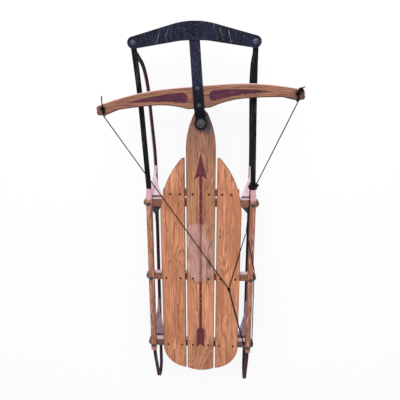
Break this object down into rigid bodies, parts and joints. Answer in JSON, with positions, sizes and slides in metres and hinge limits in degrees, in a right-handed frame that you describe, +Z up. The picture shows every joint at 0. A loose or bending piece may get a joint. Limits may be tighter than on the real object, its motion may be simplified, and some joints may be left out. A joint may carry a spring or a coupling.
{
  "type": "steerable runner sled",
  "caption": "Low wooden sled on sprung steel runners: a slatted deck, side rails, splayed knees and a bow-shaped bar that bends the runner fronts to steer.",
  "frame": {"origin": "middle of the sled's length and width, on the ground that the runners stand on", "axes": "+X forward, +Y to the rider's left, +Z up"},
  "size_m": [1.2244, 0.5893, 0.1727],
  "materials": {
    "oak_deck": "worn varnished oak",
    "oak_frame": "worn varnished oak",
    "oak_bar": "worn varnished oak",
    "rope": "dark twisted cord",
    "knee_steel": "worn paint",
    "runner_steel": "worn dark red paint",
    "rivet_steel": "worn black paint",
    "black_steel": "chipped blue-black paint"
  },
  "bodies": {
    "frame": {"deck_board_left": "oak_deck", "deck_board_centre": "oak_deck", "deck_board_right": "oak_deck", "deck_cleat": "oak_frame", "bench_front": "oak_frame", "bench_mid": "oak_frame", "bench_rear": "oak_frame", "side_rail_left": "oak_frame", "runner_left": "runner_steel", "iron_root_left": "black_steel", "knee_front_left": "knee_steel", "knee_rear_left": "knee_steel", "side_rail_right": "oak_frame", "runner_right": "runner_steel", "iron_root_right": "black_steel", "knee_front_right": "knee_steel", "knee_rear_right": "knee_steel", "pivot_bolt": "rivet_steel", "rope_strands": "rope", "rope_knots": "rope", "rope_left": "rope", "rope_right": "rope"},
    "steering": {"steering_bar": "oak_bar", "steering_strap": "black_steel"},
    "front_left": {"runner_front_left": "runner_steel", "iron_front_left": "black_steel", "bumper_rivet_left": "rivet_steel"},
    "front_right": {"runner_front_right": "runner_steel", "iron_front_right": "black_steel", "bumper_rivet_right": "rivet_steel"},
    "bumper": {"bumper_plate": "black_steel", "bumper_rivet_centre": "rivet_steel"}
  },
  "joints": [
    {"name": "steer", "type": "hinge", "parent": "frame", "child": "steering", "pos_m": [0.339, 0, 0.144], "axis": [0, 0, 1], "range_deg": [-19.4, 10.6], "deforming": ["rope_left", "rope_right"]},
    {"name": "flex_left", "type": "hinge", "parent": "frame", "child": "front_left", "pos_m": [0.2175, 0.16, 0.132], "axis": [0, 0, 1], "range_deg": [-13.9, 7.62]},
    {"name": "flex_right", "type": "hinge", "parent": "frame", "child": "front_right", "pos_m": [0.2175, -0.16, 0.132], "axis": [0, 0, 1], "range_deg": [-13.9, 7.62]},
    {"name": "bumper_swing", "type": "hinge", "parent": "front_left", "child": "bumper", "pos_m": [0.55753, 0.18707, 0.1565], "axis": [0, 0, 1], "range_deg": [-7.24, 13.21]}
  ],
  "couplings": [
    {"joint": "flex_left", "follows": "steer", "ratio": 0.71378},
    {"joint": "flex_right", "follows": "steer", "ratio": 0.71378},
    {"joint": "bumper_swing", "follows": "steer", "ratio": -0.67818}
  ]
}
